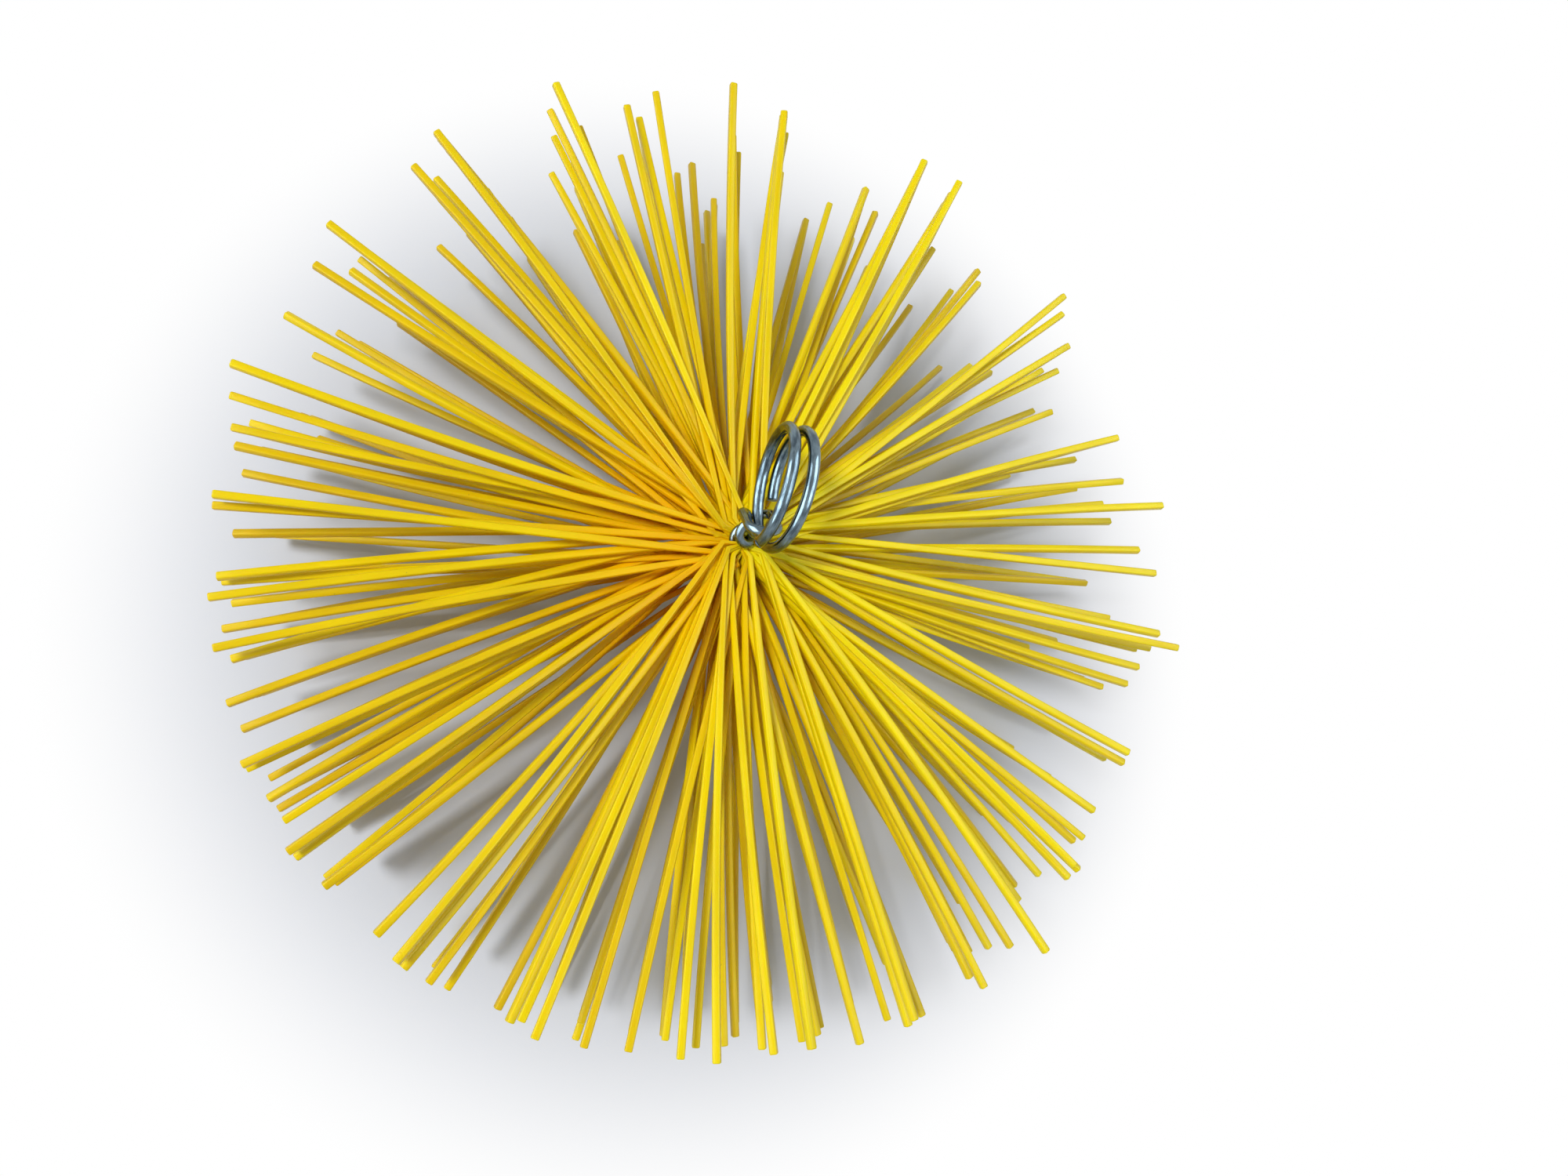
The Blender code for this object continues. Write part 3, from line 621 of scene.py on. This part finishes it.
def lay_shown_strands(lanes, slope_shifts):
    """Give each tip of the photo, farthest first, the free strand that meets it with least turn."""
    for shown_bearing, shown_reach in sorted(SHOWN_TIPS, key=lambda shown: -shown[1]):
        choices = []
        for slot, slope_shift in slope_shifts.items():
            row, column, layer = slot
            if abs(angle_between(root_bearing(row, column), shown_bearing)) > 2 * COLUMN_ANGLE:
                continue
            bearing, length = aim(slot, slope_shift, shown_bearing, shown_reach)
            turn = turn_at(row, column, bearing)
            misfit = abs(length - trimmed(length)) / MISFIT_LENGTH
            if turn < 1.0 and has_room(lanes[row, layer], column, bearing):
                choices.append((turn + misfit, slot, bearing, length))
        if choices:
            _, (row, column, layer), bearing, length = min(choices)
            lanes[row, layer][column] = (bearing, trimmed(length))


def lay_hidden_strands(lanes, slope_shifts, scatter):
    """Lay each strand left under a tip of the photo, or else as near its root's bearing as fits."""
    for slot, slope_shift in slope_shifts.items():
        row, column, layer = slot
        lane = lanes[row, layer]
        if column in lane:
            continue
        root = root_bearing(row, column)
        seen, _ = photo_place(strand_tip(slot, root, SHORTEST_STRAND, slope_shift))
        nearest = sorted(SHOWN_TIPS, key=lambda shown: abs(angle_between(seen, shown[0])))
        choices = []
        for shown_bearing, shown_reach in nearest[:NEAREST_SHOWN]:
            bearing, length = aim(slot, slope_shift, shown_bearing, shown_reach)
            turn = turn_at(row, column, bearing)
            overshoot = max(SHORTEST_STRAND - length, 0.0) / MISFIT_LENGTH
            if turn < 1.0 and has_room(lane, column, bearing):
                choices.append((turn + overshoot, bearing, length))
        if choices:
            _, bearing, length = min(choices)
        else:
            length = SHORTEST_STRAND
            lowest = [placed + STRAND_SPACING_ANGLE * (column - other)
                      for other, (placed, _) in lane.items() if other < column]
            highest = [placed - STRAND_SPACING_ANGLE * (other - column)
                       for other, (placed, _) in lane.items() if other > column]
            bearing = min([max([root, *lowest]), *highest])
        lane[column] = (bearing, trimmed(length - scatter.uniform(0.0, HIDDEN_STRAND_TRIM)))


def full_reach_slots(lanes):
    """The upper strand that turns least to lie at each bearing of full reach, and its new bearing."""
    found = {}
    for target in FULL_REACH_BEARINGS:
        choices = []
        for (row, layer), lane in lanes.items():
            for column in range(COLUMNS // 2):
                turn = angle_between(lane[column][0], target)
                others = {other: placed for other, placed in lane.items() if other != column}
                if has_room(others, column, lane[column][0] + turn):
                    choices.append((abs(turn), (row, column, layer), lane[column][0] + turn))
        _, slot, bearing = min(choices)
        found[slot] = bearing
    return found


def strand_lines():
    """Root, bend and tip of each strand, as the CAD solids have them, keyed by row, column and layer."""
    scatter = random.Random(SCATTER_SEED)
    slope_shifts = {}
    for row in ROW_START_BEARINGS:
        for column in range(COLUMNS):
            for layer in range(LAYERS):
                slope_shifts[row, column, layer] = scatter.uniform(-SLOPE_JITTER, SLOPE_JITTER)
    lanes = {(row, layer): {} for row in ROW_START_BEARINGS for layer in range(LAYERS)}
    lay_shown_strands(lanes, slope_shifts)
    lay_hidden_strands(lanes, slope_shifts, scatter)
    full_reach = full_reach_slots(lanes)
    lines = {}
    for slot, slope_shift in slope_shifts.items():
        row, column, layer = slot
        bearing, length = lanes[row, layer][column]
        bearing = full_reach.get(slot, bearing)
        tip = strand_tip(slot, bearing, length, slope_shift)
        if slot in full_reach:
            tip = heading(bearing) * BRUSH_RADIUS + UP * tip.z
        else:
            inside = min(1.0, (BRUSH_RADIUS - STRAND_RADIUS) / max(abs(tip.x), abs(tip.y)))
            tip = Vector((tip.x * inside, tip.y * inside, tip.z))
        swept = COLUMN_ANGLE * (column + 0.5)
        root = heading(root_bearing(row, column)) * CORE_RADIUS
        root += UP * (row_height(swept) + LAYER_SPACING * (layer - 1))
        sideways = UP.cross(tip - root).normalized()
        bow = STRAND_BOW * math.sin(math.radians(STRAND_BOW_WAVES * bearing))
        bend = root + (tip - root) * (STRAND_BEND_REACH / length) + sideways * bow
        lines[slot] = (root, bend, tip)
    return lines


def strand_path(slot, root, bend, tip, scatter):
    """Middle line, radii and rolls: squeezed in the twist, then one smooth bow to the tip."""
    row, column, layer = slot
    out = heading(root_bearing(row, column))
    level = row_height(COLUMN_ANGLE * (column + 0.5)) + (layer - 1) * SQUEEZED_LAYER_SPACING
    points = [out * SQUEEZED_START_REACH + UP * level, out * NECK_REACH + UP * level]
    radii = [SQUEEZED_RADIUS, SQUEEZED_RADIUS]
    span = (tip - root).length
    share_bend = (bend - root).length / span
    straight = root + (tip - root) * share_bend
    lift = (bend - straight) / (share_bend * (1.0 - share_bend))
    aside = UP.cross(out) * scatter.uniform(-ROOT_SHIFT, ROOT_SHIFT)
    aside += UP * scatter.uniform(-ROOT_LIFT, ROOT_LIFT)
    full_width_reach = scatter.uniform(*FULL_WIDTH_REACHES)
    for n in range(STRAND_STATIONS + 1):
        share = n / STRAND_STATIONS
        place = root + (tip - root) * share + lift * share * (1.0 - share)
        points.append(place + aside * (1.0 - share))
        radii.append(blend(ROOT_RADIUS, STRAND_RADIUS, smooth(share * span / full_width_reach)))
    direction = (points[-1] - points[-2]).normalized()
    end = points.pop()
    radii.pop()
    for back, width in ROUNDED_END_SHARES:
        points.append(end - direction * back * STRAND_RADIUS)
        radii.append(STRAND_RADIUS * width)
    for point, radius in zip(points, radii):
        point.z = max(point.z, radius + FLOOR_GAP)
    roll = scatter.uniform(-LARGEST_ROLL, LARGEST_ROLL)
    twist = scatter.uniform(-LARGEST_TWIST, LARGEST_TWIST)
    rolls = [roll + twist * n / len(points) for n in range(len(points))]
    return points, radii, rolls


def strand_colours(slot, tip, scatter):
    """How golden a strand is and how orange near the twist: painted shade and painted light by where it
    points and how deep it lies, and its own colour by chance.
    """
    seen, _ = photo_place(tip)
    # Painted shade: strands more golden on one side of the view and deeper down the spiral; chance adds
    # each strand's own colour
    shaded_side = math.cos(math.radians(seen - PAINTED_SHADE_BEARING))
    depth = smooth(slot[1] / COLUMNS)
    tone_and_shade = MIDDLE_GOLD_SHARE + FACING_SHADE_SHARE * shaded_side + DEEP_SHADE_SHARE * depth
    tone_and_shade += scatter.uniform(-CHANCE_GOLD_SHARE, CHANCE_GOLD_SHARE)
    # Painted glow: more orange on the shaded side of the view and deeper down the spiral
    painted_glow = MIDDLE_PAINTED_GLOW_SHARE + FACING_PAINTED_GLOW_SHARE * shaded_side + DEEP_PAINTED_GLOW_SHARE * depth
    return min(max(tone_and_shade, 0.0), 1.0), min(max(painted_glow, 0.0), 1.0)


def make_bristles():
    """The tufts of both rows, each tuft one piece."""
    lines = strand_lines()
    scatter = random.Random(SHAPE_SEED)
    for row in ROW_START_BEARINGS:
        for tuft in range(TUFTS_PER_ROW):
            body = Body()
            for column in range(tuft * COLUMNS_PER_TUFT, (tuft + 1) * COLUMNS_PER_TUFT):
                for layer in range(LAYERS):
                    slot = (row, column, layer)
                    root, bend, tip = lines[slot]
                    points, radii, rolls = strand_path(slot, root, bend, tip, scatter)
                    colours = strand_colours(slot, tip, scatter)
                    offset = scatter.uniform(0.0, LARGEST_GRAIN_OFFSET)
                    body.sweep(points, radii, STRAND_OUTLINE, colours, offset, UP.cross(tip - root), rolls)
            piece = body.make(f"bristles_{row}{tuft + 1:02d}", [BRISTLE])
            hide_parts(f"bristle_tuft_{row}{tuft + 1:02d}")
            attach(piece, "brush")


make_bristles()


# Stem wire and ring, in finer steps than their solids
STEPS_PER_TWIST = 36
STEPS_PER_RING_TURN = 96
EYE_SIDE_STEPS = 24
EYE_ARCH_STEPS = 24
STEM_SIDES = 20
RING_SIDES = 28
RING_CUT_ANGLE = 62.0


def lean_at(rise):
    """Lean of the stem towards +Y in degrees, by length along it above the hub."""
    turn_back = LEAN_OUT_LENGTH + LEAN_HELD_LENGTH
    out = LEAN_OUT * smooth(rise / LEAN_OUT_LENGTH)
    return blend(out, LEAN_BACK, smooth((rise - turn_back) / LEAN_BACK_LENGTH))


def stem_axis(rises):
    """Points and directions of the stem's middle line at lengths above the hub, in rising order."""
    step = WIRE_DIAMETER / AXIS_STEPS_PER_DIAMETER
    place = Vector((0.0, 0.0, HUB_TOP))
    travelled = 0.0
    found = []
    for rise in rises:
        while travelled < rise:
            stride = min(step, rise - travelled)
            lean = math.radians(lean_at(travelled + stride / 2))
            place = place + Vector((0.0, math.sin(lean), math.cos(lean))) * stride
            travelled += stride
        lean = math.radians(lean_at(rise))
        found.append((place.copy(), Vector((0.0, math.sin(lean), math.cos(lean)))))
    return found


def neck_length():
    """Length of twisted stem above the hub, to where its legs lie at +X and -X again."""
    leg_bearing = ROW_START_BEARINGS["a"] + 90.0
    return TWIST_PITCH * leg_bearing / 360.0 - ROW_SPACING / 2


def twist_radius_at(rise):
    """Distance of each leg from the stem's middle line, by length above the hub."""
    return blend(TWIST_RADIUS, CLOSED_TWIST_RADIUS, smooth(rise / TWIST_CLOSING_LENGTH))


def eye_outline():
    """Middle line of the eye, from the +X leg's root round the tip to the -X leg's root."""
    neck = neck_length()
    arch_start = EYE_LENGTH - EYE_HALF_WIDTH
    stretch = [arch_start * n / EYE_SIDE_STEPS for n in range(1, EYE_SIDE_STEPS + 1)]
    half_widths = [
        blend(CLOSED_TWIST_RADIUS, EYE_HALF_WIDTH, smooth(rise / EYE_OPENING_LENGTH)) for rise in stretch]
    for n in range(1, EYE_ARCH_STEPS // 2 + 1):
        angle = math.pi * n / EYE_ARCH_STEPS
        stretch.append(arch_start + EYE_HALF_WIDTH * math.sin(angle))
        half_widths.append(EYE_HALF_WIDTH * math.cos(angle))
    axis = stem_axis([neck + rise for rise in stretch])
    right = [place + Vector((width, 0.0, 0.0)) for (place, _), width in zip(axis, half_widths)]
    left = [Vector((-point.x, point.y, point.z)) for point in right[:-1]]
    return right + left[::-1]


def eye_tip():
    """Middle of the wire at the eye's tip, which the ring turns about."""
    return stem_axis([neck_length() + EYE_LENGTH])[0][0]


def folded_wire():
    """Both legs and the eye in one list of points."""
    legs = []
    neck = neck_length()
    step = TWIST_PITCH / STEPS_PER_TWIST
    straight = HUB_TOP - HUB_BOTTOM + TAIL_LENGTH
    below = [-straight + straight * n / round(straight / step) for n in range(round(straight / step))]
    above = [neck * n / round(neck / step) for n in range(round(neck / step) + 1)]
    axis = [(Vector((0.0, 0.0, HUB_TOP + rise)), UP) for rise in below] + stem_axis(above)
    side = Vector((1.0, 0.0, 0.0))
    for half in (0.0, 180.0):
        leg = []
        for rise, (place, along) in zip(below + above, axis):
            bearing = ROW_START_BEARINGS["a"] + 90.0 + half
            bearing += 360.0 * (ROW_TOP - HUB_TOP - rise) / TWIST_PITCH
            angle = math.radians(bearing)
            offset = side * math.cos(angle) + along.cross(side) * math.sin(angle)
            leg.append(place + offset * twist_radius_at(rise))
        legs.append(leg)
    first, second = legs
    outline = eye_outline()
    if first[-1].x < 0.0:
        first, second = second, first
    return first + outline + second[::-1]


def ring_route():
    """Middle line of the split ring, which turns about the wire at the eye's tip."""
    elevation = math.radians(RING_REST_ELEVATION)
    rock = Matrix.Rotation(math.radians(RING_ROCK), 3, "Y")
    turned = rock @ Matrix.Rotation(math.radians(RING_YAW), 3, "Z")
    away = turned @ Vector((0.0, math.cos(elevation), math.sin(elevation)))
    round_way = turned @ Vector((0.0, -math.sin(elevation), math.cos(elevation)))
    sideways = turned @ Vector((1.0, 0.0, 0.0))
    offset = RING_RADIUS - RING_WIRE_RADIUS - WIRE_RADIUS - RING_CLEARANCE
    centre = eye_tip() + away * offset
    swept = RING_SHOWN_END_ANGLE - RING_START_ANGLE
    steps = round(swept / 360.0 * STEPS_PER_RING_TURN)
    points = []
    for n in range(steps + 1):
        degrees = RING_START_ANGLE + swept * n / steps
        angle = math.radians(degrees)
        pitch = RING_PITCH + RING_SPREAD * math.sin(angle)
        shift = pitch * (degrees - RING_MIDDLE_ANGLE) / 360.0
        round_place = -away * math.cos(angle) + round_way * math.sin(angle)
        points.append(centre + round_place * RING_RADIUS + sideways * shift)
    return points


def make_stem():
    """The folded wire in one piece, cut square at both ends."""
    body = Body()
    points = folded_wire()
    body.sweep(points, [WIRE_RADIUS] * len(points), round_outline(STEM_SIDES), cut_slot=1)
    piece = body.make("folded_stem_wire", [ZINC, CUT])
    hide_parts("twisted_wire_stem")
    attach(piece, "brush")


def make_ring():
    """The split ring in one piece, cut at a slant where it starts."""
    body = Body()
    points = ring_route()
    start_tangent = (points[1] - points[0]).normalized()
    towards_view = (VIEW_TOWARD - start_tangent * VIEW_TOWARD.dot(start_tangent)).normalized()
    cut_angle = math.radians(RING_CUT_ANGLE)
    slant = -start_tangent * math.cos(cut_angle) + towards_view * math.sin(cut_angle)
    radii = [RING_WIRE_RADIUS] * len(points)
    body.sweep(points, radii, round_outline(RING_SIDES), cut_slot=1, start_slant=slant)
    piece = body.make("split_ring_wire", [STEEL, CUT])
    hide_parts("split_ring")
    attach(piece, "ring")


make_stem()
make_ring()


# Floor and world
WHITE = (1.0, 1.0, 1.0, 1.0)
FLOOR_HALF_WIDTH = 6.0
# Painted shade: the floor is grey round the brush to deepen its shadow, and bluish to cancel the yellow
# light bounced from the bristles; from the fade on it shows white
FLOOR_SHADE_GREY = (0.60, 0.63, 0.70, 1.0)
FLOOR_ROUGHNESS = 0.9
FLOOR_SPECULAR_LEVEL = 0.1
FLOOR_FADE_START = 0.105
FLOOR_FADE_END = 0.185
WORLD_COLOUR = (0.94, 0.97, 1.0, 1.0)
WORLD_LEVEL = 0.48


def background_rays(tree):
    """1 for rays that show the background: the camera's own, and those by way of metal or glass."""
    path = tree.nodes.new("ShaderNodeLightPath")
    seen = path.outputs["Is Camera Ray"]
    for name in ("Is Glossy Ray", "Is Transmission Ray"):
        either = tree.nodes.new("ShaderNodeMath")
        either.operation = "MAXIMUM"
        tree.links.new(seen, either.inputs[0])
        tree.links.new(path.outputs[name], either.inputs[1])
        seen = either.outputs[0]
    return seen


def make_floor():
    """Grey floor, a painted shade pool round the brush, bluish against the yellow light the bristles
    bounce onto it; it keeps the brush's shadow and shows plain white away from it.
    """
    mesh = bpy.data.meshes.new("floor")
    half = FLOOR_HALF_WIDTH
    corners = [(-half, -half, 0.0), (half, -half, 0.0), (half, half, 0.0), (-half, half, 0.0)]
    mesh.from_pydata(corners, [], [(0, 1, 2, 3)])
    floor = bpy.data.objects.new("floor", mesh)
    bpy.context.scene.collection.objects.link(floor)
    n = Nodes("white_floor")
    n.shader.inputs["Base Color"].default_value = FLOOR_SHADE_GREY
    n.shader.inputs["Roughness"].default_value = FLOOR_ROUGHNESS
    n.shader.inputs["Specular IOR Level"].default_value = FLOOR_SPECULAR_LEVEL
    white = n.add("ShaderNodeEmission")
    white.inputs["Strength"].default_value = 1.0
    distance = n.add("ShaderNodeVectorMath", operation="LENGTH")
    n.join(n.add("ShaderNodeTexCoord").outputs["Object"], distance.inputs[0])
    far = n.remap(distance.outputs["Value"], FLOOR_FADE_START, FLOOR_FADE_END)
    seen = n.combine("MULTIPLY", far, background_rays(n.tree))
    mixed = n.add("ShaderNodeMixShader")
    n.join(seen, mixed.inputs[0])
    n.join(n.shader.outputs[0], mixed.inputs[1])
    n.join(white.outputs[0], mixed.inputs[2])
    n.join(mixed.outputs[0], n.output.inputs["Surface"])
    mesh.materials.append(n.material)


def make_world():
    """Pale light from all round, and a plain white background."""
    world = bpy.data.worlds.new("studio")
    bpy.context.scene.world = world
    world.use_nodes = True
    tree = world.node_tree
    light = tree.nodes["Background"]
    light.inputs["Color"].default_value = WORLD_COLOUR
    light.inputs["Strength"].default_value = WORLD_LEVEL
    white = tree.nodes.new("ShaderNodeBackground")
    white.inputs["Color"].default_value = WHITE
    mixed = tree.nodes.new("ShaderNodeMixShader")
    tree.links.new(background_rays(tree), mixed.inputs[0])
    tree.links.new(light.outputs[0], mixed.inputs[1])
    tree.links.new(white.outputs[0], mixed.inputs[2])
    tree.links.new(mixed.outputs[0], tree.nodes["World Output"].inputs["Surface"])


# Lamps: a key near the camera for the bristles, and two long cards that the wires mirror. Each stands
# off its target towards the photo's camera, then to the photo's right, then up in it
LAMP_TARGET = Vector((0.0, 0.0, 0.06))
KEY_OFFSETS = (1.10, -0.16, 0.18)
KEY_SIZE = (0.18, 0.18)
KEY_LEVEL = 0.66
KEY_COLOUR = (1.0, 1.0, 1.0)
LEFT_CARD_OFFSETS = (0.62, -0.68, 0.10)
LEFT_CARD_LEVEL = 2.20
RIGHT_CARD_OFFSETS = (0.50, 0.76, 0.10)
RIGHT_CARD_LEVEL = 1.90
CARD_SIZE = (1.50, 0.80)
CARD_COLOUR = (0.88, 0.96, 1.0)


def add_lamp(name, offsets, size, level, colour):
    """A soft box. level is what a small one adds to a white surface that faces it at the target."""
    data = bpy.data.lights.new(name, "AREA")
    data.shape = "RECTANGLE"
    data.size, data.size_y = size
    toward, right, above = offsets
    place = LAMP_TARGET + VIEW_TOWARD * toward + VIEW_RIGHT * right + VIEW_UP * above
    line = place - LAMP_TARGET
    data.energy = level * math.pi ** 2 * line.length_squared
    data.color = colour
    lamp = bpy.data.objects.new(name, data)
    lamp.location = place
    lamp.rotation_mode = "QUATERNION"
    lamp.rotation_quaternion = line.to_track_quat("Z", "Y")
    lamp.visible_camera = False
    bpy.context.scene.collection.objects.link(lamp)
    return lamp


def make_lamps():
    """A key that no surface mirrors, and cards that light nothing but what mirrors them."""
    key = add_lamp("key", KEY_OFFSETS, KEY_SIZE, KEY_LEVEL, KEY_COLOUR)
    key.visible_glossy = False
    left_card = add_lamp("left_card", LEFT_CARD_OFFSETS, CARD_SIZE, LEFT_CARD_LEVEL, CARD_COLOUR)
    left_card.visible_diffuse = False
    right_card = add_lamp("right_card", RIGHT_CARD_OFFSETS, CARD_SIZE, RIGHT_CARD_LEVEL, CARD_COLOUR)
    right_card.visible_diffuse = False


make_floor()
make_world()
make_lamps()

bpy.context.scene.view_settings.view_transform = "Standard"
